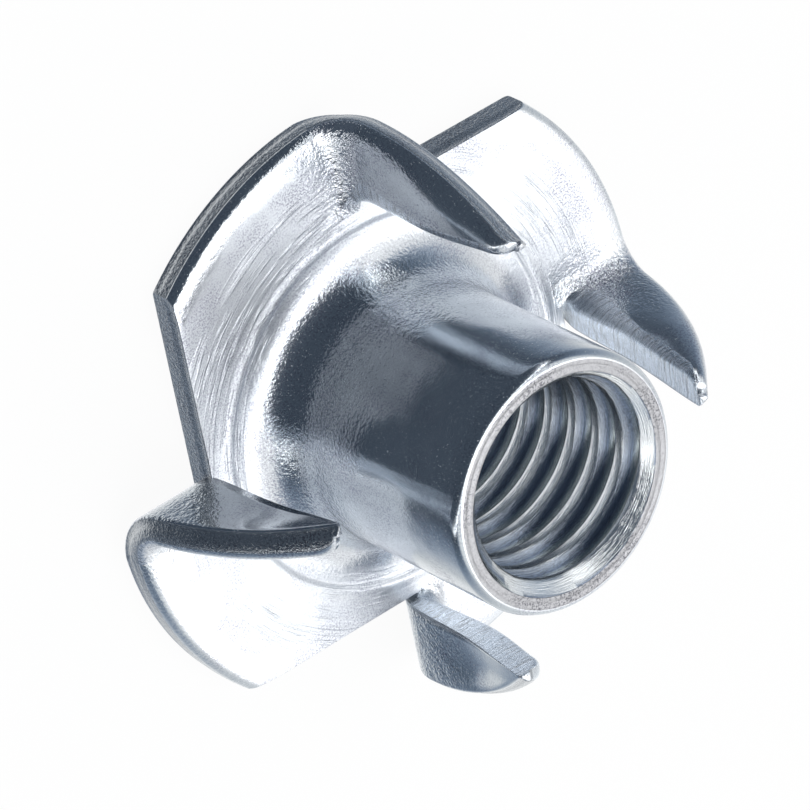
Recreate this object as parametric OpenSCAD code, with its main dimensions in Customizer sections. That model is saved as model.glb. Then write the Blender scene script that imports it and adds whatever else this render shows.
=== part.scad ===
// Tee nut with an M8 thread and four prongs.
// One piece of sheet steel: a round flange with a threaded barrel drawn out of its middle,
// and prongs sheared along straight cuts and folded up beside the barrel.
// The barrel stands along +Z, and the flange's back face is the plane Z = 0.

/* [Thread and barrel] */
// Nominal diameter of the thread, over its roots
thread_d = 8; // [6:1:10]
// Pitch of the thread
pitch = 1.25; // [1:0.25:1.5]
// Wall of the barrel outside the thread's roots
wall = 0.75; // [0.6:0.05:1.2]
// Height over all, from the back of the flange to the mouth of the barrel
height = 10.5; // [8:0.5:20]
// Rounding of the mouth's outer edge
mouth_round = 0.35; // [0.1:0.05:0.5]
// Radius between the barrel and the flange
neck_r = 1.9; // [1:0.1:2.3]
// Radius where the bore opens into the back of the flange
back_r = 1.6; // [0.8:0.1:2]

/* [Flange] */
// Diameter over the rim
flange_d = 22.4; // [18.4:0.2:28]
// Thickness of the sheet
sheet = 1.2; // [0.9:0.05:1.5]
// Rounding of the rim on the barrel's side, where the punch rolled it
rim_roll = 0.35; // [0.1:0.05:0.45]
// Rounding of the rim at the back
rim_break = 0.12; // [0.05:0.01:0.2]
// Flat width of the coined ring round the neck
coin_w = 0.25; // [0.1:0.05:0.8]
// Depth of the coined ring
coin_depth = 0.08; // [0.02:0.01:0.15]

/* [Prongs] */
// Number of prongs
prongs = 4; // [3:1:5]
// Distance from the coined ring to the inner end of each cut
root_gap = 0.95; // [0.5:0.05:1.4]
// Angle at the rim from the fold line to the corner that the cut leaves on the next petal
gap_a = 50.5; // [42:0.5:56]
// Angle that the prong is folded through
fold_a = 85; // [70:1:95]
// Inside radius of the fold at the inner end of the cut
fold_root = 0.6; // [0.4:0.05:0.9]
// Inside radius of the fold at the rim
fold_rim = 1.05; // [0.7:0.05:1.4]
// Width of the prong's blunt end
tip_w = 0.4; // [0.1:0.05:0.7]
// Gap between the folded prong's inner edge and the petal beside it
root_clear = 0.06; // [0.03:0.01:0.3]

/* [Hidden] */
$fn = 96;
zinc = "#c9ced6";
thread_loss = 0.88;                        // diameter lost between root and crest, in pitches
bore_r = (thread_d - thread_loss * pitch) / 2;
mouth_r = thread_d / 2;                    // the countersink opens as far as the thread's roots
mouth_z = height - (mouth_r - bore_r);     // it meets the bore at 45 degrees
barrel_r = thread_d / 2 + wall;
coin_r = barrel_r + neck_r + coin_w;
floor_z = sheet - coin_depth;              // bottom of the coined ring
flange_r = flange_d / 2;
root_r = coin_r + root_gap;
pitch_a = 360 / prongs;
reach = flange_r + 1;                      // cutting shapes end outside the rim
// The fold uses up this angle of the rim, which leaves the prong that much shorter than its gap
neutral = 0.4;                             // height of the bend's neutral layer, in sheets
bend_a = fold_a * (fold_rim + neutral * sheet) / flange_r;
tip_a = gap_a - bend_a;
lap_a = 5;                                 // the bend runs on through this angle at either end
lap_inset = 0.01;                          // and is this much thinner all round, to lie inside there
cone_a = atan2(fold_rim - fold_root, flange_r - root_r);   // slope of the fold's axis
root = [root_r, 0];
corner = on_rim(-gap_a);
// The fold's axis slopes, so the prong's inner edge leans towards the petal beside it while that
// petal's cut draws back. The prong starts far enough out to stay clear.
lean_in = sin(cone_a) * cos(cone_a) * (1 - cos(fold_a));
draw_back = cos(cone_a) * sin(fold_a) * (corner.x - root_r) / corner.y;
prong_r = root_r + max(0, (sheet + fold_root) * (lean_in - draw_back)) + root_clear;
tip = on_rim(-tip_a);

function on_rim(a) = flange_r * [cos(a), sin(a)];
function unit(v) = v / norm(v);
function heading(v) = atan2(v.y, v.x);

// What a rounding of radius r takes from a corner that lies at the origin
module corner_bite(r) {
    difference() {
        square(r);
        translate([r, r]) circle(r);
    }
}

// Section of the flat sheet from a radius out to the rim, whose two edges are rounded
module sheet_section(from_r, inset = 0) {
    difference() {
        translate([from_r + inset, inset]) square([flange_r - from_r - 2 * inset, sheet - 2 * inset]);
        translate([flange_r - inset, sheet - inset]) rotate(180) corner_bite(rim_roll);
        translate([flange_r - inset, inset]) rotate(90) corner_bite(rim_break);
    }
}

// Section of the flange with the coined ring sunk into its front
module flange_section() {
    difference() {
        sheet_section(0);
        translate([0, floor_z]) square([coin_r, coin_depth]);
    }
}

// Section of the barrel and its neck, solid to the axis
module barrel_section() {
    difference() {
        square([barrel_r, height]);
        translate([barrel_r, height]) rotate(180) corner_bite(mouth_round);
    }
    translate([barrel_r, floor_z]) corner_bite(neck_r);
}

// Section of the hole: bore, countersink and the rounded way in at the back
module hole_section() {
    square([bore_r, height]);
    polygon([[0, mouth_z], [bore_r, mouth_z], [mouth_r, height], [0, height]]);
    translate([bore_r, 0]) corner_bite(back_r);
}

// Wedge from a point on the fold line, between that line and a point on the rim
module wedge(from, p) {
    polygon([from, from + [reach, 0], from + reach * [1, -1], from + reach * unit(p - from)]);
}

// Flange and barrel in one, with the gaps that the prongs were cut from
module body() {
    difference() {
        rotate_extrude() difference() {
            union() {
                flange_section();
                barrel_section();
            }
            hole_section();
        }
        for (i = [0 : prongs - 1])
            rotate(i * pitch_a) translate([0, 0, -sheet]) linear_extrude(3 * sheet) wedge(root, corner);
    }
}

// Takes what is drawn round the fold's axis, as its Z, to its place over the flange
module at_fold() {
    translate([root_r, 0, sheet + fold_root]) rotate([0, 90 - cone_a, 0]) rotate(-fold_a) children();
}

// The bent stretch: the sheet's section swept round the fold's axis, and a little way into the
// petal and the blade, inside which it ends
module bend() {
    at_fold() rotate(-lap_a) rotate_extrude(angle = fold_a + 2 * lap_a)
        rotate(90 - cone_a) translate([-root_r, -sheet - fold_root]) sheet_section(prong_r, lap_inset);
}

// The straight stretch, still flat: the rim's arc and the cut meet in a point, which is blunt
module blade() {
    inner = [prong_r, 0];
    to_root = unit(inner - tip);
    to_rim = unit([-tip.y, tip.x]);
    half = acos(to_root * to_rim) / 2;
    difference() {
        intersection() {
            rotate_extrude() sheet_section(0);
            translate([0, 0, -sheet]) linear_extrude(3 * sheet) wedge(inner, tip);
        }
        translate([tip.x, tip.y, -sheet]) rotate(heading(to_root + to_rim)) linear_extrude(3 * sheet)
            translate([-reach, -reach]) square([reach + tip_w / 2 / tan(half), 2 * reach]);
    }
}

module prong() {
    bend();
    at_fold() rotate([0, cone_a - 90, 0]) translate([-root_r, 0, -sheet - fold_root]) blade();
}

// The finished piece
module tee_nut() {
    color(zinc) {
        body();
        for (i = [0 : prongs - 1]) rotate(i * pitch_a) prong();
    }
}

tee_nut();
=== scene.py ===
import math
import bpy
import numpy as np
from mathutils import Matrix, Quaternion, Vector


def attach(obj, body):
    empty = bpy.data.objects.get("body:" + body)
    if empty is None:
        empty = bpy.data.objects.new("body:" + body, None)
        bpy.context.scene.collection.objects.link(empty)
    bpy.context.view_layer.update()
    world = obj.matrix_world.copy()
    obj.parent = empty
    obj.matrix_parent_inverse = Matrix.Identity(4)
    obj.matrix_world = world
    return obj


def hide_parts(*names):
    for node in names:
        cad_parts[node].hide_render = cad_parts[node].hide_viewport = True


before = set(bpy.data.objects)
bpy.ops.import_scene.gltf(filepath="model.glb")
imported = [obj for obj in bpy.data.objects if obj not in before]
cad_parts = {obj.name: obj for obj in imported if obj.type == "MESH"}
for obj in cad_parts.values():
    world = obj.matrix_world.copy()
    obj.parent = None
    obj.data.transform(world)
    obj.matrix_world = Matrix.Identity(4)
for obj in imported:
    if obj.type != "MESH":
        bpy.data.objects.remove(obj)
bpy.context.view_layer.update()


# ---------------------------------------------------------------- Studio
# A white card table under a wide white tent. The tent is open towards the camera, where the room is
# dark, so bright metal shows a dark middle between white sides. A soft box hangs behind the nut.

def feed(tree, node, values):
    """Feeds a node's inputs, by name or number, from sockets or plain values."""
    for name, value in values.items():
        if isinstance(value, bpy.types.NodeSocket):
            tree.links.new(value, node.inputs[name])
        else:
            node.inputs[name].default_value = value


def put(tree, kind, values=None, **settings):
    """Adds a node, sets its properties and feeds its inputs."""
    node = tree.nodes.new(kind)
    for name, value in settings.items():
        setattr(node, name, value)
    feed(tree, node, values or {})
    return node


def calc(tree, operation, *values, clamp=False):
    """A Math node on sockets or numbers."""
    values = dict(enumerate(values))
    return put(tree, "ShaderNodeMath", values, operation=operation, use_clamp=clamp).outputs[0]


def vector_calc(tree, operation, values):
    """A Vector Math node's outputs."""
    return put(tree, "ShaderNodeVectorMath", values, operation=operation).outputs


def total(tree, first, *others):
    """Sockets or numbers added up."""
    for other in others:
        first = calc(tree, "ADD", first, other)
    return first


def product(tree, first, *others):
    """Sockets or numbers multiplied."""
    for other in others:
        first = calc(tree, "MULTIPLY", first, other)
    return first


def ramp(tree, value, low, high):
    """Rises smoothly from 0 where the value is low to 1 where it is high, whichever is the greater."""
    return put(tree, "ShaderNodeMapRange", {"Value": value, "From Min": low, "From Max": high},
               interpolation_type="SMOOTHSTEP").outputs["Result"]


def blended(tree, amount, first, second, **settings):
    """Goes from the first colour to the second, or to both multiplied, as the amount goes from 0 to 1."""
    values = {0: amount, 6: first, 7: second}    # the colour inputs' places among the node's sockets
    return put(tree, "ShaderNodeMix", values, data_type="RGBA", **settings).outputs[2]


def towards(azimuth, elevation):
    """The unit vector with that azimuth and elevation, in radians."""
    return Vector((math.cos(elevation) * math.cos(azimuth), math.cos(elevation) * math.sin(azimuth),
                   math.sin(elevation)))


# The camera looks into the barrel's mouth from above, rolled over on its side
camera_azimuth, camera_height = math.radians(-52.256), math.radians(45.227)
camera_roll, camera_distance = math.radians(116.365), 0.2526
aim = Vector((0.002002, -0.002613, 0.00525))
to_camera = towards(camera_azimuth, camera_height)
camera = bpy.data.objects.new("camera", bpy.data.cameras.new("camera"))
bpy.context.scene.collection.objects.link(camera)
camera.data.lens, camera.data.sensor_width = 332.03, 36
camera.data.clip_start, camera.data.clip_end = 0.01, 10
camera.location = aim + to_camera * camera_distance
camera.rotation_mode = "QUATERNION"
camera.rotation_quaternion = to_camera.to_track_quat("Z", "Y") @ Quaternion((0, 0, 1), camera_roll)
bpy.context.scene.camera = camera
bpy.context.scene.view_settings.view_transform = "Standard"

# The tent's brightness in each direction. Its walls brighten away from the opening, and a bright strip
# stands on either side of that, brighter in its upper part. A pair gives where a change starts and ends:
# of the walls and strips in the cosine of the bearing from the opening, and the rest in height or forwards.
opening = camera_azimuth - math.radians(4)
room_glow, wall_glow, wall_curve, wall_span = 0.11, 1.08, 1.5, (0.25, -1.0)
strip_glow, upper_strip_glow, upper_span = 0.45, 3.2, (-0.4, 0.4)
strip_starts, strip_stops = (0.27, 0.31), (0.39, 0.35)
roof_glow, roof_span, roof_front = 1.12, (0.3, 0.75), (0.12, 0.22)
zenith_glow, zenith_span, below_span = 1.4, (0.9, 0.98), (-0.87, -0.75)
dim_tint, bright_tint, tint_span = (0.66, 0.84, 1.1, 1), (0.99, 1.0, 1.0, 1), (0.2, 0.95)
plain_white = (1, 1, 1, 1)

world = bpy.context.scene.world or bpy.data.worlds.new("tent")
bpy.context.scene.world = world
world.use_nodes = True
sky = world.node_tree
sky.nodes.clear()
looking = put(sky, "ShaderNodeTexCoord").outputs["Generated"]
up = put(sky, "ShaderNodeSeparateXYZ", {0: looking}).outputs["Z"]
ahead = vector_calc(sky, "DOT_PRODUCT", {0: looking, 1: (math.cos(opening), math.sin(opening), 0)})["Value"]
level_squared = calc(sky, "SUBTRACT", 1.0, calc(sky, "POWER", up, 2.0))
level = calc(sky, "SQRT", calc(sky, "MAXIMUM", level_squared, 1e-4))
bearing = calc(sky, "DIVIDE", ahead, level)      # 1 towards the opening at any height, and -1 opposite
side = put(sky, "ShaderNodeMapRange", {"Value": bearing, "From Min": wall_span[0], "From Max": wall_span[1]},
           clamp=True)
walls = total(sky, product(sky, calc(sky, "POWER", side.outputs["Result"], wall_curve), wall_glow), room_glow)
strips = product(sky, ramp(sky, bearing, *strip_starts), ramp(sky, bearing, *strip_stops))
strip_level = total(sky, product(sky, ramp(sky, up, *upper_span), upper_strip_glow), strip_glow)
walls = total(sky, walls, product(sky, strips, strip_level))

# The roof is bright, most of all at its middle, and stops short of the opening. White glows from below.
covered = calc(sky, "SUBTRACT", 1.0, ramp(sky, ahead, *roof_front))
zenith = product(sky, ramp(sky, up, *zenith_span), zenith_glow)
roof = product(sky, total(sky, product(sky, ramp(sky, up, *roof_span), roof_glow), zenith), covered)
below = calc(sky, "SUBTRACT", 1.0, ramp(sky, up, *below_span))
glow = calc(sky, "MAXIMUM", calc(sky, "MAXIMUM", walls, roof), below)

# Dim parts of the tent are bluer than bright ones. Behind everything the camera sees plain white.
tint = blended(sky, ramp(sky, glow, *tint_span), dim_tint, bright_tint)
tent = put(sky, "ShaderNodeBackground", {"Color": tint, "Strength": glow})
backdrop = put(sky, "ShaderNodeBackground", {"Color": plain_white})
seen = put(sky, "ShaderNodeLightPath").outputs["Is Camera Ray"]
either = put(sky, "ShaderNodeMixShader", {0: seen, 1: tent.outputs[0], 2: backdrop.outputs[0]})
put(sky, "ShaderNodeOutputWorld", {"Surface": either.outputs[0]})

# The soft box hangs high behind the nut and faces it
box_side, box_distance = towards(camera_azimuth + math.pi, math.radians(62)), 0.35
soft_box = bpy.data.objects.new("soft_box", bpy.data.lights.new("soft_box", "AREA"))
bpy.context.scene.collection.objects.link(soft_box)
soft_box.data.shape, soft_box.data.size, soft_box.data.size_y = "RECTANGLE", 0.34, 0.28
soft_box.data.energy = 0.33
soft_box.location = box_side * box_distance
soft_box.rotation_mode = "QUATERNION"
soft_box.rotation_quaternion = box_side.to_track_quat("Z", "Y")

# The table lies a hair below the nut's back and is clear from beneath, so that the back shows in views
# from below. Camera rays see it nearly white, and glossy and transmitted rays a little.
half, sunk = 0.8, -0.00002
card_colour, card_seen, card_mirrored = (0.88, 0.88, 0.88, 1), 0.95, 0.1
table = bpy.data.objects.new("table", bpy.data.meshes.new("table"))
bpy.context.scene.collection.objects.link(table)
outline = [(x * half, y * half, sunk) for x, y in ((-1, -1), (1, -1), (1, 1), (-1, 1))]
table.data.from_pydata(outline, [], [(0, 1, 2, 3)])
card = bpy.data.materials.new("pale_card")
card.use_nodes = True
tree = card.node_tree
tree.nodes.clear()
paper = put(tree, "ShaderNodeBsdfDiffuse", {"Color": card_colour})
white = put(tree, "ShaderNodeEmission", {"Color": plain_white, "Strength": 1.0})
paths = put(tree, "ShaderNodeLightPath").outputs
shown = product(tree, paths["Is Camera Ray"], card_seen)
bounced = calc(tree, "MAXIMUM", paths["Is Glossy Ray"], paths["Is Transmission Ray"])
whiteness = calc(tree, "MAXIMUM", shown, product(tree, bounced, card_mirrored))
top = put(tree, "ShaderNodeMixShader", {0: whiteness, 1: paper.outputs[0], 2: white.outputs[0]})
clear = put(tree, "ShaderNodeBsdfTransparent")
beneath = put(tree, "ShaderNodeNewGeometry").outputs["Backfacing"]
both_sides = put(tree, "ShaderNodeMixShader", {0: beneath, 1: top.outputs[0], 2: clear.outputs[0]})
put(tree, "ShaderNodeOutputMaterial", {"Surface": both_sides.outputs[0]})
table.data.materials.append(card)
table.visible_glossy = False


# ---------------------------------------------------------------- Tee nut
# One stamping of 1.2 mm sheet steel, bright zinc plated. The barrel is drawn out of the middle and
# tapped M8; four prongs are sheared along straight cuts and folded up. Lengths here are millimetres.

# Flange and barrel, with the roundings of the rim's front and back and of the end's outer and inner edge
rim_r, sheet, rim_roll, rim_break = 11.2, 1.2, 0.35, 0.12
barrel_r, height, mouth_round, lip_round = 4.75, 10.5, 0.35, 0.07
# Roundings where sheet turns into barrel, in front and behind, and the coined ring; the bore and thread
neck_r, back_r, coin_r, coin_z = 1.9, 1.6, 6.9, 1.12
bore_r, crest_r, thread_r, pitch = 3.45, 3.5, 4.0, 1.25
# Cuts, from a fold's root to the rim, and folds, whose inner radius grows from the root to the rim
root_r, gap_a, tip_w, root_clear = 7.85, 50.5, 0.4, 0.06
fold_a, fold_root, fold_rim, neutral = 85.0, 0.6, 1.05, 0.4
petal_r, shared_r = 7.6, 7.78          # the petals' grids start at the first; every column has the second
hair = 1e-9                            # closer than this is the same

SHEET, CUT, THREAD, FACED_SHADED = 0, 1, 2, 3   # which finish a patch of the surface has
quarter_turns = (0.0, 90.0, 180.0, 270.0)
patches = []


def waves(u, v, seed):
    """Unevenness between about -1 and 1: the mean, made to fill that range, of sine waves of unlike pitch and
    direction over u and v."""
    rng, terms = np.random.default_rng(seed), 9
    pitches = rng.uniform(0.35, 2.2, terms)
    turns, starts = rng.uniform(0, 2 * np.pi, terms), rng.uniform(0, 2 * np.pi, terms)
    return 1.9 / terms * sum(np.sin(k * (u * np.cos(a) + v * np.sin(a)) + s)
                             for k, a, s in zip(pitches, turns, starts))


def patch(points, finish, strain=0.0, polish_and_painted_light=0.0, turned_over=False):
    """Keeps a grid of points, rows by columns by xyz, with its finish, how far the metal there was stretched,
    how far the tool burnished it, which also sets painted light (a painted dark reflection on burnished
    sheet, a painted highlight on the thread's crests), and its place on a flat map: the mean distance so far
    along and across."""
    points = np.asarray(points, float)
    across, along = (np.linalg.norm(np.diff(points, axis=i), axis=-1).mean(1 - i) for i in (0, 1))
    across, along = (np.concatenate([[0], np.cumsum(d)]) for d in (across, along))
    strain, polish_and_painted_light = (np.broadcast_to(v, points.shape[:2]) for v in (strain, polish_and_painted_light))
    patches.append((points, finish, strain, polish_and_painted_light, np.stack(np.meshgrid(along, across), -1), turned_over))


def around(radius, z, angle):
    """Points at a radius and height on each angle, in degrees."""
    radius, z, angle = np.broadcast_arrays(radius, z, np.radians(angle))
    return np.stack([radius * np.cos(angle), radius * np.sin(angle), z], -1)


def arc(x, z, radius, start, end, count):
    """Points on a circle of that centre and radius, from one angle to another, in degrees."""
    a = np.radians(np.linspace(start, end, count))
    return np.stack([x + radius * np.cos(a), z + radius * np.sin(a)], -1)


# The fold's axis slopes, and the folded prong starts clear of the petal beside it
cone = np.arctan2(fold_rim - fold_root, rim_r - root_r)
tip_a = gap_a - fold_a * (fold_rim + neutral * sheet) / rim_r
corner, tip = (rim_r * np.array([np.cos(np.radians(a)), -np.sin(np.radians(a))]) for a in (gap_a, tip_a))
lean_in = np.sin(cone) * np.cos(cone) * (1 - np.cos(np.radians(fold_a)))
draw_back = np.cos(cone) * np.sin(np.radians(fold_a)) * (corner[0] - root_r) / corner[1]
prong_r = root_r + max(0.0, (sheet + fold_root) * (lean_in - draw_back)) + root_clear

# Columns run from one fold line to the next, in degrees, closer together at the corner and at either end
corner_col = 90 - gap_a
quarter = np.concatenate([
    [0, 0.25, 0.6, 1.1], np.linspace(1.8, corner_col - 1.2, 21),
    corner_col + np.array([-0.7, -0.35, -0.12, 0, 0.12, 0.35, 0.7]),
    np.linspace(corner_col + 1.2, 86.5, 30), [87.8, 88.8, 89.5, 90]])
ring = np.concatenate([quarter[:-1] + turn for turn in quarter_turns] + [[360.0]])

# How far out each column goes: to the rim, then to the straight cut, which is its distance from the
# middle over the cosine of the angle from where it comes nearest
ends = np.array([[0.0, root_r], [-corner[1], corner[0]]])
normal = np.array([ends[0, 1] - ends[1, 1], ends[1, 0] - ends[0, 0]])
normal /= np.linalg.norm(normal) * np.sign(normal @ ends[0])
cut_r = (normal @ ends[0]) / np.cos(np.radians(quarter) - np.arctan2(normal[1], normal[0]))
out_r = np.where(quarter <= corner_col + hair, rim_r, cut_r)
out_r[-1] = root_r

# Rows: a few at fixed radii, then shares of the way out to where the flat faces end
roll_r, break_r = rim_r - rim_roll, rim_r - rim_break
fixed_r = np.array([petal_r, 7.66, 7.72, shared_r])
front_s, back_s = ((np.concatenate([[root_r, prong_r], np.linspace(prong_r, end, n)[1:]]) - shared_r)
                   / (end - shared_r) for end, n in ((roll_r, 12), (break_r, 9)))


def front_z(r):
    """Height of the front: flat, then down the quarter circle that the punch rolled at the rim."""
    s = np.clip((r - roll_r) / rim_roll, 0, 1)
    return sheet - rim_roll + rim_roll * np.sqrt(1 - s * s)


def back_z(r):
    """Height of the back: flat, then up the small quarter circle at the rim."""
    s = np.clip((r - break_r) / rim_break, 0, 1)
    return rim_break - rim_break * np.sqrt(1 - s * s)


still_z, roll_fade = 0.2, 0.6          # the front's dips die away towards this height
roll_dip, roll_lead, roll_run = 0.075, 1.0, 0.75
fold_dip, dip_long, dip_wide = 0.05, 0.4, 0.5


def eased_off(r, z):
    """The rim's roll starts gently: over its last millimetre the front sinks with the square of the distance,
    and the back not at all."""
    along = np.clip((r - rim_r + roll_lead) / roll_run, 0, 1)
    return z - roll_dip * along ** 2 * np.clip((z - still_z) / roll_fade, 0, 1)


def dimpled(r, z, off):
    """The front sinks in a bell-shaped hollow at the inner end of each fold, where the distance from the
    fold's line is off."""
    bell = np.exp(-((r - prong_r) / dip_long) ** 2 - (off / dip_wide) ** 2)
    return z - fold_dip * bell * np.clip(z - still_z, 0, 1)


def flange(r, z, angle):
    """Points of the flange at a radius and height on each angle, with the hollows at the four folds."""
    return around(r, dimpled(r, z, r * np.radians((angle + 45) % 90 - 45)), angle)


def pulled(a, k, b, t):
    """Points on the curve from a to b that the corner k pulls out: a, k and b weighted by (1 - t) squared,
    twice t times (1 - t), and t squared."""
    return (1 - t) ** 2 * a + 2 * t * (1 - t) * k + t ** 2 * b


# The shear cut clean through part of the thickness and tore the rest, past a ragged line
tear_deep, tear_sharp, rim_tear_z, cut_tear_z = 0.035, 0.02, 0.36, 0.78
ragged = 0.05 * waves(quarter * 1.7, 0, 3)


def torn(z):
    """How far the wall stands back: nothing where the shear cut clean, and a logistic step where it tore,
    below the ragged line at the rim and above it along the cut. It fades out at the corner between them."""
    rim = tear_deep / (1 + np.exp((z - rim_tear_z - ragged) / tear_sharp))
    cut = tear_deep / (1 + np.exp(-(z - cut_tear_z - ragged) / tear_sharp))
    return np.where(quarter < corner_col, rim, cut) * np.clip(np.abs(quarter - corner_col) / 1.5, 0, 1)


# The wall's own corners are rounded off by this much in front and behind, and not at all at the fold line
ease = np.clip((90 - quarter) / 2.0, 0, 1)
front_off, back_off = 0.04 * ease, 0.025 * ease
wall_rows = (6, 22)                    # the sheared wall is from the first of these edge rows to the second


def edge_rows(outer):
    """Rows of radius and height from the end of the flat front, over the edge, down the wall and round its
    foot to the flat back."""
    rows, corner_t = [], (0.25, 0.5, 0.75, 1.0)
    top = np.arcsin(np.clip((outer - front_off - roll_r) / rim_roll, 0, 1))
    for t in np.linspace(0, 1, 6)[1:]:
        rows.append(np.stack([
            np.where(top > 0, roll_r + rim_roll * np.sin(top * t), np.minimum(roll_r, outer - front_off)),
            np.where(top > 0, sheet - rim_roll + rim_roll * np.cos(top * t), sheet)], -1))
    wall_top = np.stack([outer, front_z(outer) - front_off], -1)
    before, knee = rows[-1], np.stack([outer, front_z(outer)], -1)
    rows += [pulled(before, knee, wall_top, t) for t in corner_t]
    for t in np.linspace(0, 1, 12)[1:]:
        z = wall_top[:, 1] + (back_z(outer) + back_off - wall_top[:, 1]) * t
        rows.append(np.stack([outer - torn(z) * ease, z], -1))
    low = np.arcsin(np.clip((outer - back_off - break_r) / rim_break, 0, 1))
    flat_r = np.where(low > 0, break_r + rim_break * np.sin(low), np.minimum(break_r, outer - back_off))
    flat = np.stack([flat_r, np.where(low > 0, rim_break - rim_break * np.cos(low), 0)], -1)
    before = rows[-1]
    knee = np.stack([before[:, 0], back_z(outer)], -1)
    rows += [pulled(before, knee, flat, t) for t in corner_t]
    for t in (2 / 3, 1 / 3):
        rows.append(np.stack([np.where(low > 0, break_r + rim_break * np.sin(low * t), flat[:, 0]),
                              np.where(low > 0, rim_break - rim_break * np.cos(low * t), 0)], -1))
    return np.array(rows)


def flat_rows(r, z):
    """Rows of radius and height that all have one height."""
    return np.stack([r, np.full_like(r, z)], -1)


# Petals: the sheet's section on every column of a quarter, four times
flat_front = shared_r + (np.minimum(roll_r, out_r - front_off) - shared_r) * front_s[:, None]
flat_back = shared_r + (np.minimum(break_r, out_r - back_off) - shared_r) * back_s[::-1, None]
flat_front[:, -1] = flat_back[:, -1] = root_r
start = np.repeat(fixed_r[:, None], len(quarter), 1)
section = np.concatenate([flat_rows(start, sheet), flat_rows(flat_front, sheet), edge_rows(out_r),
                          flat_rows(flat_back, 0), flat_rows(start[::-1], 0)])
level_section = section.copy()
section[..., 1] = eased_off(section[..., 0], section[..., 1])
edge_start = len(fixed_r) + len(front_s)
wall_a, wall_b = (edge_start + row for row in wall_rows)

# The metal stretched in the nine degrees beside a fold and a little at the rim, which the punch burnished
by_fold, by_rim = np.clip(1 - quarter / 9, 0, 1), 0.3 * np.clip((section[..., 0] - 10.25) / 0.5, 0, 1)
strain = np.maximum(by_fold, by_rim)
rolled_off = np.interp(section[..., 0], [10.15, 10.4, roll_r, roll_r + 0.12], [0, 0.55, 0.6, 0.8])
for turn in quarter_turns:
    points = flange(section[..., 0], section[..., 1], quarter + turn)
    patch(points[:wall_a + 1], SHEET, strain[:wall_a + 1], rolled_off[:wall_a + 1])
    patch(points[wall_a:wall_b + 1], CUT)
    patch(points[wall_b:], SHEET, strain[wall_b:], 0.1)

# The narrow slot between the inner end of the cut and the prong
first, last = edge_start - len(front_s) + 1, len(section) - len(fixed_r) - 2
slot_z = section[edge_start - 1:len(section) - len(fixed_r) - len(back_s) + 1, -1, 1]
for turn in quarter_turns:
    patch(np.stack([flange(r, slot_z, turn) for r in (root_r, prong_r)], 1), SHEET, 1.0, 0.5)

# Prongs: the section at the fold line, closed by the prong's inner edge
flat_section = level_section[first:last + 1, 0]
root_w = rim_r - prong_r
rim_slant, slant_z, slant_run = 0.26, 0.8, 1.5
inner_tear, inner_tear_z = 0.03, 0.42


def prong_loops(width, ease, run, deep, wide, slant):
    """Closed loops of the prong's section for each width, as distance in from the rim and height.
    The rim's rows keep their distance; the flat rows spread over what is left of the width.
    The inner edge's front corner sinks along a quarter ellipse, so deep and so wide, and the rim's
    wall slants in towards the back by the given amount, where it tore. The inner edge tore as well,
    along a line that wanders with the run."""
    r0, z0 = flat_section[:, 0, None], flat_section[:, 1, None]
    w = np.repeat(rim_r - r0, len(width), 1)
    wide = np.minimum(wide, np.maximum(width - rim_roll, 0) * 0.7)
    on_front, on_back = (z0 >= sheet - hair) & (r0 <= roll_r + hair), (z0 <= hair) & (r0 <= break_r + hair)
    for flat, rounding, less in ((on_front, rim_roll, wide), (on_back, rim_break, 0)):
        share = (root_w - (rim_r - r0)) / (root_w - rounding)
        w = np.where(flat, width - less - np.maximum(width - less - rounding, 0) * share, w)
    w = np.minimum(w, width)
    held = w >= width - hair
    z = np.where(on_front | (held & (z0 > sheet / 2)), front_z(rim_r - w), np.repeat(z0, len(width), 1))
    z = np.where(on_back | (held & (z0 < sheet / 4)), back_z(rim_r - w), z)

    t = ((slot_z[::-1][1:-1] - slot_z[-1]) / (slot_z[0] - slot_z[-1]))[:, None]
    q = np.linspace(0, 1, len(t) + 2)[1:-1, None]
    top, a = z[0] - deep, np.clip(q * 2 - 1, 0, 1) * np.pi / 2
    straight_z = z[-1] + (top - z[-1]) * np.clip(q * 2, 0, 1)
    past_line = straight_z - inner_tear_z - 0.06 * waves(run * 2, 0, 11)
    tear = inner_tear * np.clip(straight_z / 0.06, 0, 1) / (1 + np.exp(past_line / tear_sharp))
    inner_z = (z[-1] + (z[0] - z[-1]) * t) * (1 - ease) + (straight_z + deep * np.sin(a)) * ease
    inner_w = width - (wide * (1 - np.cos(a)) + tear) * ease

    w, z = np.concatenate([w, inner_w, w[:1]]), np.concatenate([z, inner_z, z[:1]])
    reach = np.minimum(slant_run, np.maximum(width, 1e-6))
    w = w + slant * np.clip((slant_z - z) / slant_z, 0, 1) ** 1.3 * np.clip(1 - w / reach, 0, 1)
    return w, eased_off(rim_r - w, z)


def folded(p, angle):
    """Turns points about the fold's sloping axis, upwards, by angles in degrees: the part of each arm along
    the axis stays, and the rest turns by its cosine and sine."""
    k, o = np.array([np.cos(cone), 0, np.sin(cone)]), np.array([root_r, 0, sheet + fold_root])
    q, a = p - o, -np.radians(angle)[..., None]
    return o + q * np.cos(a) + np.cross(k, q) * np.sin(a) + k * (q @ k)[..., None] * (1 - np.cos(a))


def turned(p, angle):
    """Turns points round the barrel's axis."""
    c, s = np.cos(np.radians(angle)), np.sin(np.radians(angle))
    return np.stack([p[..., 0] * c - p[..., 1] * s, p[..., 0] * s + p[..., 1] * c, p[..., 2]], -1)


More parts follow.
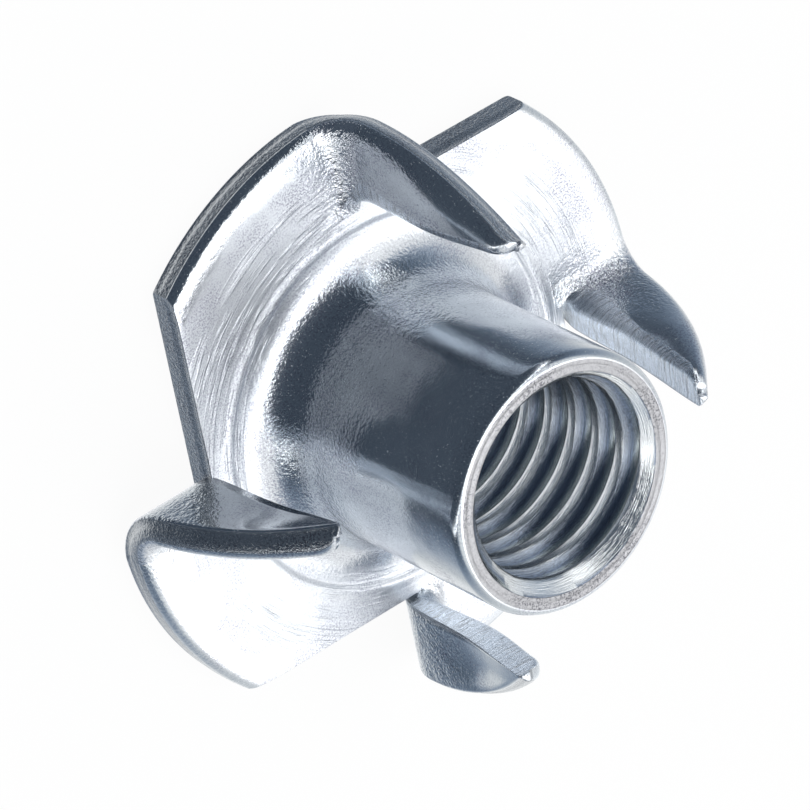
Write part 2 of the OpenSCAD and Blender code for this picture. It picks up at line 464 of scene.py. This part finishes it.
# The bend: the section at each step of the fold, in degrees, its inner corner more and more drawn over
steps = np.concatenate([[0, 1.2, 3], np.linspace(5.5, fold_a - 3, 22), [fold_a - 1.2, fold_a]])
drawn_at = [0, 35, fold_a]
bend_w, bend_z = prong_loops(
    np.full_like(steps, root_w), ease=np.clip(steps / 12, 0, 1), run=steps / 20,
    deep=np.interp(steps, drawn_at, [0, 0.12, 0.6]), wide=np.interp(steps, drawn_at, [0, 0.2, 1.1]),
    slant=rim_slant * np.clip(steps / 45, 0, 1))
dimpled_z = dimpled(rim_r - bend_w, bend_z, np.radians(steps) * (fold_root + sheet / 2))
bend = np.stack([rim_r - bend_w, np.zeros_like(bend_w), dimpled_z], -1)
bend = folded(bend, np.broadcast_to(steps, bend_w.shape))

# The cut stopped short of the fold, so a web of drawn metal runs from the bend's inner edge down to the
# flange: straight to a foot there, and on in a curve over a knee to the bend's front
rim_part, web_end = len(flat_section) - 1, int(np.searchsorted(steps, 52))
foot_r, foot_z, foot_share = 7.25, 1.17, 0.3
knee_r, knee_z, knee_share = 7.6, 1.21, 0.4
there = np.clip(steps / 5, 0, 1) * np.clip((68 - steps) / 30, 0, 1)
there = (there ** 2 * (3 - 2 * there))[:, None]
under, over = bend[rim_part], bend[-1]
foot = np.stack([np.full_like(steps, foot_r), -1.5 * steps / 60, np.full_like(steps, foot_z)], -1)
knee_y = foot[:, 1] * (1 - knee_share) + over[:, 1] * knee_share
knee = np.stack([np.full_like(steps, knee_r), knee_y, np.full_like(steps, knee_z)], -1)
share = np.linspace(0, 1, len(bend) - rim_part)[:, None, None]
curve = pulled(foot, knee, over, np.clip((share - foot_share) / (1 - foot_share), 0, 1))
web = np.where(share < foot_share, under + (foot - under) * share / foot_share, curve)
bend[rim_part:] += (web - bend[rim_part:]) * there

# The blade's sections stand between the cut and the rim's arc, and turn to the slant of its blunt end
inner = np.array([prong_r, 0.0])
to_root = (inner - tip) / np.linalg.norm(inner - tip)
to_rim = np.array([-tip[1], tip[0]]) / rim_r
half_a = np.arccos(to_root @ to_rim) / 2
end_cut = tip_w / 2 / np.sin(half_a)
u = np.concatenate([[0, 0.01, 0.025], np.linspace(0.05, 0.94, 36), [0.955, 0.97, 0.98, 0.99, 1.0]])
at_cut = inner + (tip + to_root * end_cut - inner) * u[:, None]
rim_a = np.radians(tip_a - np.degrees(end_cut / rim_r)) * u
at_rim = rim_r * np.stack([np.cos(rim_a), -np.sin(rim_a)], -1)
width = np.linalg.norm(at_rim - at_cut, axis=1)
tip_deep, tip_wide = 0.25, 0.45        # the inner corner is less drawn over towards the tip
blade_w, blade_z = prong_loops(
    width, ease=np.ones_like(width), run=fold_a / 20 + u * 7,
    deep=tip_deep + 0.35 * np.clip(1 - u / 0.65, 0, 1), wide=tip_wide + 0.65 * np.clip(1 - u / 0.5, 0, 1),
    slant=np.full_like(width, rim_slant))
blade_w[:, 0], blade_z[:, 0] = bend_w[:, -1], dimpled_z[:, -1]

# The punch rounded the tip off towards the back, over its last stretch, along a quarter circle
tip_round, left = 0.7, (1 - u) * np.linalg.norm(at_rim[-1] - at_rim[0])
thin = 1 - tip_round / sheet * (1 - np.sqrt(1 - np.clip(1 - left / tip_round, 0, 1) ** 2))
blade_z = blade_z * thin
flat_blade = np.concatenate([at_rim + (at_cut - at_rim) / width[:, None] * blade_w[..., None],
                             blade_z[..., None]], -1)

# The nose closes the blunt end: its edge draws in and moves forward along a quarter ellipse, to a point
onward = np.array([*-(to_root + to_rim), 0.0]) / np.linalg.norm(to_root + to_rim)
middle = np.array([*(at_rim[-1] + at_cut[-1]) / 2, sheet * thin[-1] / 2])
end_loop = flat_blade[:, -1]
nose, nose_out, nose_tip = [end_loop], 0.15, 0.16
for a in np.radians([18, 36, 54, 72, 90]):
    nose.append(middle + (end_loop - middle) * (0.55 + 0.45 * np.cos(a)) + onward * nose_out * np.sin(a))
nose.append(np.tile(middle + onward * nose_tip, (len(end_loop), 1)))
nose = np.stack(nose, 1)

# Folded up, the blade bows a little along its length, its inner edge the most, and across it
lean, belly = 0.15, 0.1
blade, nose = (folded(p, np.full(p.shape[:2], fold_a)) for p in (flat_blade, nose))
inward = np.clip(blade_w / width, 0, 1)
blade[..., 1] += np.sin(np.pi * u) ** 2 * (lean * inward + belly * np.sin(np.pi * inward))

# Each part of the prong in strips of rows: front, sheared rim, back, then the inner edge, which is sheet
# as far as the web goes and sheared beyond it
wall_a, wall_b = wall_a - first, wall_b - first
prong_parts = ((bend, 1.0, steps / fold_a, web_end),
               (blade, np.clip(1 - u * 2.2, 0, 1), 1.0, 0),
               (nose, 0.0, 0.5, 0))
for turn in quarter_turns:
    for part, stretch, shine, webbed in prong_parts:
        stretch, shine = (np.broadcast_to(v, part.shape[:2]) for v in (stretch, shine))
        end = len(part) - 1
        for a, b, c, d, finish, most in (
                (0, wall_a, 0, None, SHEET, 0.8), (wall_a, wall_b, 0, None, CUT, 0),
                (wall_b, rim_part, 0, None, SHEET, 0.95),
                (rim_part, end, 0, webbed + 1, SHEET, 0.7), (rim_part, end, webbed, None, CUT, 1)):
            strip = (slice(a, b + 1), slice(c, d))
            patch(turned(part[strip], turn), finish, stretch[strip], shine[strip] * most, turned_over=True)

# Barrel, neck and coined ring: one profile of radius and height turned round the axis, out to where the
# petals start. Facing left a groove in the end, and coining threw up a low ridge round the ring.
sink_slope = 1.25                      # the countersink's radius grows by this for each millimetre up
groove_r, groove_z = [4.17, 4.22, 4.26, 4.3, 4.34], height - np.array([0, 0.015, 0.025, 0.015, 0])
ridge_z, ridge_rise, ridge_fall = 1.255, 0.15, 0.4
up_t, down_t = np.linspace(-0.85, 1, 8), np.linspace(0, 1, 8)[1:]
ridge_up = (coin_z + ridge_z) / 2 + (ridge_z - coin_z) / 2 * np.sin(up_t * np.pi / 2)
ridge_down = sheet + (ridge_z - sheet) * (1 + np.cos(down_t * np.pi)) / 2
profile = np.concatenate([
    arc(thread_r + lip_round, height - lip_round, lip_round, 180 - np.degrees(np.arctan(sink_slope)), 90, 4),
    np.stack([groove_r, groove_z], -1),
    arc(barrel_r - mouth_round, height - mouth_round, mouth_round, 90, 0, 9),
    np.stack([np.full(16, barrel_r), np.linspace(height - mouth_round, neck_r + coin_z, 18)[1:-1]], -1),
    arc(barrel_r + neck_r, coin_z + neck_r, neck_r, 180, 270, 22), [[6.72, coin_z], [6.765, coin_z]],
    np.stack([coin_r + ridge_rise * up_t, ridge_up], -1),
    np.stack([coin_r + ridge_rise + ridge_fall * down_t, ridge_down], -1),
    [[petal_r, sheet]]])

# The neck stretched most, about one height, and the die burnished the barrel and less and less of the neck
neck_strain = np.clip(1 - np.abs(profile[:, 1] - 3.2) / 2.6, 0, 1)[:, None]
neck_shine = np.interp(profile[:, 0], [4.75, 5.2, 5.9, 6.6, 7.0], [0.85, 0.82, 0.6, 0.1, 0])[:, None]
turned_round = flange(profile[:, :1], profile[:, 1:], ring)
# These rows reach into the start of the outer rounding and take the faced finish's darker colour, partly
# painted shade
faced_shaded_rows = 11                             # rows up to the end face's outer edge are machined
patch(turned_round[:faced_shaded_rows], FACED_SHADED)
patch(turned_round[faced_shaded_rows - 1:], SHEET, neck_strain[faced_shaded_rows - 1:], neck_shine[faced_shaded_rows - 1:])

# Back of the flange, in to the rounded way into the bore
funnel_z = 0.38
funnel_a = 180 + np.degrees(np.arcsin((back_r - funnel_z) / back_r))
back = np.concatenate([[[r, 0] for r in (petal_r, 7.2, 6.6, 6.0, 5.5)],
                       arc(bore_r + back_r, back_r, back_r, 270, funnel_a, 12)])
patch(around(back[:, :1], back[:, 1:], ring), SHEET, 0.3, 0.3)

# Bore: rows follow the helix, 15 to a turn, and stop at the way in and at the countersink. A row's place
# in the turn is a share of the pitch from the crest, and its depth is outwards from the crest's radius.
row_at, row_depth = np.transpose([
    (-0.17, 0.06), (-0.125, 0.03), (-0.075, 0.014), (-0.025, 0.006), (0.04, 0.001),
    (0.11, 0.0), (0.16, 0.012), (0.2, 0.07), (0.32, 0.31), (0.42, 0.485),
    (0.46, 0.5), (0.54, 0.5), (0.58, 0.485), (0.68, 0.31), (0.8, 0.08)])
crest_z, crest_a, turns = 7.745, 127.7, np.arange(-8, 3)
helix_rows = (row_at + turns[:, None]).ravel()[:, None]
z = crest_z + pitch * (helix_rows + (ring - crest_a) / 360)
r = crest_r + np.tile(row_depth, len(turns))[:, None] + 0 * z
top_r, top_z = profile[0]
widened = top_r - sink_slope * np.clip(top_z - z, 0, None)
# The crests' mask, 1 on the countersink too, colours them near white: a painted highlight
crest = np.clip(1 - (r - crest_r) / 0.1, 0, 1)
root = np.clip((r - crest_r - 0.4) / 0.08, 0, 1)
crest = np.where(r <= widened + hair, 1, crest)
r = np.maximum(r, widened)
into = bore_r + back_r - np.sqrt(back_r ** 2 - (back_r - np.clip(z, funnel_z, back_r)) ** 2)
r = np.where(z < back_r, np.maximum(r, into), r)
r = np.where(z <= funnel_z, back[-1, 0], np.where(z >= top_z, top_r, r))
patch(around(r, np.clip(z, funnel_z, top_z), ring), THREAD, root, crest)

# The patches become one closed skin: points that coincide, to a fraction of a micrometre, are one point.
# A quad with two corners in one place becomes a triangle, and one with more is dropped.
same_point = 2e-4
points = np.concatenate([p.reshape(-1, 3) for p, *_ in patches])
stretch, burnish_and_painted_light = (np.concatenate([each[i].ravel() for each in patches]) for i in (2, 3))
flat_out = np.concatenate([each[4].reshape(-1, 2) for each in patches])
quads, finishes, offset = [], [], 0
for p, finish, *_, turned_over in patches:
    n, m = p.shape[:2]
    i = np.arange(n * m).reshape(n, m) + offset
    q = np.stack([i[:-1, :-1], i[1:, :-1], i[1:, 1:], i[:-1, 1:]], -1).reshape(-1, 4)
    quads.append(q[:, ::-1] if turned_over else q)
    finishes.append(np.full(len(q), finish))
    offset += n * m
separate, finishes = np.concatenate(quads), np.concatenate(finishes)
grid = np.round(points / same_point).astype(np.int64)
_, kept, same = np.unique(grid, axis=0, return_index=True, return_inverse=True)
quads = same.reshape(-1)[separate]
repeats = quads == np.roll(quads, -1, axis=1)
whole, one = ~repeats.any(1), repeats.sum(1) == 1
three, three_apart = (q[one][~repeats[one]].reshape(-1, 3) for q in (quads, separate))
good = (three[:, 0] != three[:, 1]) & (three[:, 1] != three[:, 2]) & (three[:, 2] != three[:, 0])
corners = np.concatenate([quads[whole].ravel(), three[good].ravel()])
corners_apart = np.concatenate([separate[whole].ravel(), three_apart[good].ravel()])
sizes = np.concatenate([np.full(whole.sum(), 4), np.full(good.sum(), 3)])
order = np.concatenate([finishes[whole], finishes[one][good]])

nut = bpy.data.objects.new("nut", bpy.data.meshes.new("nut"))
bpy.context.scene.collection.objects.link(nut)
mesh = nut.data
mesh.vertices.add(len(kept))
mesh.vertices.foreach_set("co", (points[kept] / 1000).ravel())
mesh.loops.add(len(corners))
mesh.loops.foreach_set("vertex_index", corners)
mesh.polygons.add(len(sizes))
mesh.polygons.foreach_set("loop_start", np.concatenate([[0], np.cumsum(sizes)[:-1]]))
mesh.polygons.foreach_set("material_index", order)
mesh.polygons.foreach_set("use_smooth", np.ones(len(sizes), bool))
mesh.update()
mesh.uv_layers.new(name="laid_out").uv.foreach_set("vector", flat_out[corners_apart].ravel())
mesh.validate()
# Polish also carries painted light into the colours: dark reflection on burnished sheet, highlight on the
# crests
for name, values in (("strain", stretch), ("polish_and_painted_light", burnish_and_painted_light)):
    mesh.attributes.new(name, "FLOAT", "POINT").data.foreach_set("value", values[kept])


# Finishes: bright zinc on rolled sheet, on sheared edges, on the tapped thread and on the faced end. Patterns
# are in metres from here on.

def group(name, inputs, outputs):
    """A node group with named inputs and outputs, and its two end nodes."""
    made = bpy.data.node_groups.new(name, "ShaderNodeTree")
    for side, sockets in (("INPUT", inputs), ("OUTPUT", outputs)):
        for label, kind, *value in sockets:
            socket = made.interface.new_socket(label, in_out=side, socket_type="NodeSocket" + kind)
            if value:
                socket.default_value = value[0]
    return made, put(made, "NodeGroupInput").outputs, put(made, "NodeGroupOutput")


def noise(tree, vector, scale, detail=3.0, rough=0.55):
    """A noise texture's value, with so many features to a metre."""
    values = {"Vector": vector, "Scale": scale, "Detail": detail, "Roughness": rough}
    return put(tree, "ShaderNodeTexNoise", values).outputs["Fac"]


def on_object(tree):
    """The Object coordinates."""
    return put(tree, "ShaderNodeTexCoord").outputs["Object"]


# Plating: the light crystals and the dull lilac ones lie in specks and in drifting patches
zinc_light, zinc_dull = (0.76, 0.785, 0.82, 1), (0.5, 0.5, 0.57, 1)
plating, given, result = group(
    "zinc_plating", [("Light", "Color", zinc_light), ("Dull", "Color", zinc_dull), ("Patchy", "Float", 0.5)],
    [("Color", "Color"), ("Dullness", "Float")])
place = on_object(plating)
drift = ramp(plating, noise(plating, place, 420.0), 0.4, 0.62)
fleck = ramp(plating, noise(plating, place, 15000.0, 2.0, 0.6), 0.42, 0.66)
speck = product(plating, fleck, total(plating, product(plating, drift, 0.75), 0.25))
amount = calc(plating, "MULTIPLY", speck, given["Patchy"], clamp=True)
feed(plating, result, {"Color": blended(plating, amount, given["Light"], given["Dull"]), "Dullness": amount})

# Turning marks: noise drawn out round the axis, so that it falls in fine concentric lines. It is read at the
# direction from the axis times Along, and at the radius plus the height times Across.
marks, given, result = group("turning_marks", [("Across", "Float", 9000.0), ("Along", "Float", 3.0)],
                             [("Value", "Float")])
place = on_object(marks)
flat = vector_calc(marks, "MULTIPLY", {0: place, 1: (1, 1, 0)})[0]
radius = vector_calc(marks, "LENGTH", {0: flat})["Value"]
outwards = vector_calc(marks, "NORMALIZE", {0: flat})[0]
spread = vector_calc(marks, "SCALE", {0: outwards, "Scale": given["Along"]})[0]
rise = put(marks, "ShaderNodeSeparateXYZ", {0: place}).outputs["Z"]
reach = product(marks, total(marks, radius, rise), given["Across"])
raised = put(marks, "ShaderNodeCombineXYZ", {"Z": reach})
read_at = vector_calc(marks, "ADD", {0: spread, 1: raised.outputs[0]})[0]
feed(marks, result, {"Value": noise(marks, read_at, 1.0)})


def turning(tree, across, along):
    """The turning marks' value, with so many lines to a metre across and so many features round the axis."""
    return put(tree, "ShaderNodeGroup", {"Across": across, "Along": along}, node_tree=marks).outputs["Value"]


def painted(tree, name):
    """The value that the mesh carries under this name."""
    return put(tree, "ShaderNodeAttribute", attribute_name=name).outputs["Fac"]


def finish(name, light, dull, patchy):
    """A zinc finish on the nut: its tree and main shader, coloured by the plating, and the plating's node."""
    made = bpy.data.materials.new(name)
    made.use_nodes = True
    mesh.materials.append(made)
    tree = made.node_tree
    shader = tree.nodes["Principled BSDF"]
    values = {"Light": (*light, 1), "Dull": (*dull, 1), "Patchy": patchy}
    zinc = put(tree, "ShaderNodeGroup", values, node_tree=plating)
    feed(tree, shader, {"Metallic": 1.0, "Base Color": zinc.outputs["Color"]})
    return tree, shader, zinc


def bumped(tree, shader, height, distance):
    """Raises the surface by a height between 0 and 1 times a distance in metres."""
    node = put(tree, "ShaderNodeBump", {"Strength": 1.0, "Distance": distance, "Height": height})
    feed(tree, shader, {"Normal": node.outputs["Normal"]})


# Rolled sheet: satin where only the mill touched it, burnished where the die drew it. Burnished metal is also
# painted a little darker, a painted dark reflection of the surroundings it mirrors
sheet_patchy, band_patchy = 0.8, 0.45
burnished_rough, satin_rough, crystal_rough = 0.085, 0.36, 0.12
tree, shader, zinc = finish("zinc_sheet", (0.76, 0.785, 0.82), (0.42, 0.42, 0.5), sheet_patchy)
place, strained, polish_and_painted_dark = on_object(tree), painted(tree, "strain"), painted(tree, "polish_and_painted_light")
satin = calc(tree, "SUBTRACT", 1.0, polish_and_painted_dark, clamp=True)
# Painted dark reflection: where burnished, the plating's colour is multiplied darker
burnished_painted_dark = blended(tree, ramp(tree, polish_and_painted_dark, 0.68, 0.84), zinc.outputs["Color"], (0.78, 0.81, 0.82, 1),
                 blend_type="MULTIPLY")
smoothed = calc(tree, "SUBTRACT", 1.0, product(tree, strained, 0.6))
rough = total(tree, product(tree, satin, smoothed, satin_rough), burnished_rough,
              product(tree, zinc.outputs["Dullness"], crystal_rough))
feed(tree, shader, {"Base Color": burnished_painted_dark, "Roughness": rough})

# The drawing lines lie on satin metal in drifting patches, and end where a dull band runs round, inside the
# rim. The pairs are distances from the nut's middle.
lines_span, band_starts, band_stops = (0.0099, 0.0089), (0.0089, 0.0096), (0.0104, 0.01)
outward = vector_calc(tree, "LENGTH", {0: place})["Value"]
fine = ramp(tree, turning(tree, 15000.0, 3.0), 0.54, 0.66)
broad = ramp(tree, turning(tree, 4200.0, 2.0), 0.5, 0.62)
lines = total(tree, product(tree, fine, 0.6), product(tree, broad, 1.5))
drawn = ramp(tree, noise(tree, place, 260.0, 2.0), 0.42, 0.58)
lines = product(tree, lines, product(tree, ramp(tree, satin, 0.65, 0.95), drawn))
lines = product(tree, lines, ramp(tree, outward, *lines_span))
band = product(tree, ramp(tree, outward, *band_starts), ramp(tree, outward, *band_stops))
feed(tree, zinc, {"Patchy": total(tree, product(tree, band, band_patchy), sheet_patchy)})

# Orange peel where the metal stretched, a slow swell, and a few grains of grit
line_height, grit_height, swell_height, sheet_relief = 0.75, 0.35, 1.2, 0.00002
grit = ramp(tree, noise(tree, place, 14000.0, 1.0), 0.69, 0.77)
swell = product(tree, noise(tree, place, 700.0, 1.0), swell_height)
crawl = product(tree, noise(tree, place, 2600.0), total(tree, product(tree, strained, 1.6), 0.1))
peel = product(tree, noise(tree, place, 8000.0, 2.0), total(tree, product(tree, strained, 2.0), 0.1))
marked = total(tree, product(tree, lines, line_height), product(tree, grit, grit_height))
bumped(tree, shader, total(tree, peel, crawl, swell, marked), sheet_relief)

# Sheared edges: drawn out across the thickness by the cut, and grainy where the metal tore. Their dark colour
# is partly the rough sheared metal's own and partly painted shade, for the dark surroundings these walls
# reflect.
# The prongs' inner edges are paler and more deeply drawn.
tree, shader, zinc = finish("zinc_sheared", (0.56, 0.58, 0.6), (0.26, 0.27, 0.3), 0.9)
place, walled = on_object(tree), painted(tree, "polish_and_painted_light")
laid = put(tree, "ShaderNodeUVMap", uv_map="laid_out").outputs["UV"]
drawn = put(tree, "ShaderNodeMapping", {0: laid, "Scale": (1.0, 0.1, 1.0)}).outputs[0]
lines = noise(tree, drawn, 9.0, 4.0, 0.65)
pale = product(tree, walled, ramp(tree, lines, 0.3, 0.55))
feed(tree, shader, {"Base Color": blended(tree, pale, zinc.outputs["Color"], (0.82, 0.88, 0.95, 1)),
                    "Roughness": 0.27})
depth = product(tree, lines, total(tree, product(tree, walled, 1.4), 0.2))
bumped(tree, shader, total(tree, depth, noise(tree, place, 9000.0)), 0.00003)

# Cut by the tap: dark bluish grey on the flanks and scraped paler along the roots. The crests and the
# countersink are coloured near white, a painted highlight
tree, shader, zinc = finish("zinc_tapped", (0.2, 0.25, 0.34), (0.12, 0.15, 0.2), 1.0)
scraped = blended(tree, painted(tree, "strain"), zinc.outputs["Color"], (0.46, 0.5, 0.5, 1))
painted_crest_highlight = blended(tree, painted(tree, "polish_and_painted_light"), scraped, (0.9, 0.92, 0.93, 1))
feed(tree, shader, {"Base Color": painted_crest_highlight, "Roughness": 0.22})
bumped(tree, shader, turning(tree, 16000.0, 5.0), 0.000016)

# Faced at the barrel's end: a fine grainy groove. The dark grey colour is partly the faced metal's own and
# partly painted shade, darkening the end and the start of its outer rounding under the bright roof
tree, shader, _ = finish("zinc_faced_shaded", (0.37, 0.37, 0.385), (0.1, 0.1, 0.115), 1.0)
feed(tree, shader, {"Roughness": 0.38})
grain = noise(tree, on_object(tree), 9000.0, 2.0)
bumped(tree, shader, total(tree, turning(tree, 12000.0, 9.0), grain), 0.00002)

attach(nut, "root")
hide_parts("tee_nut")
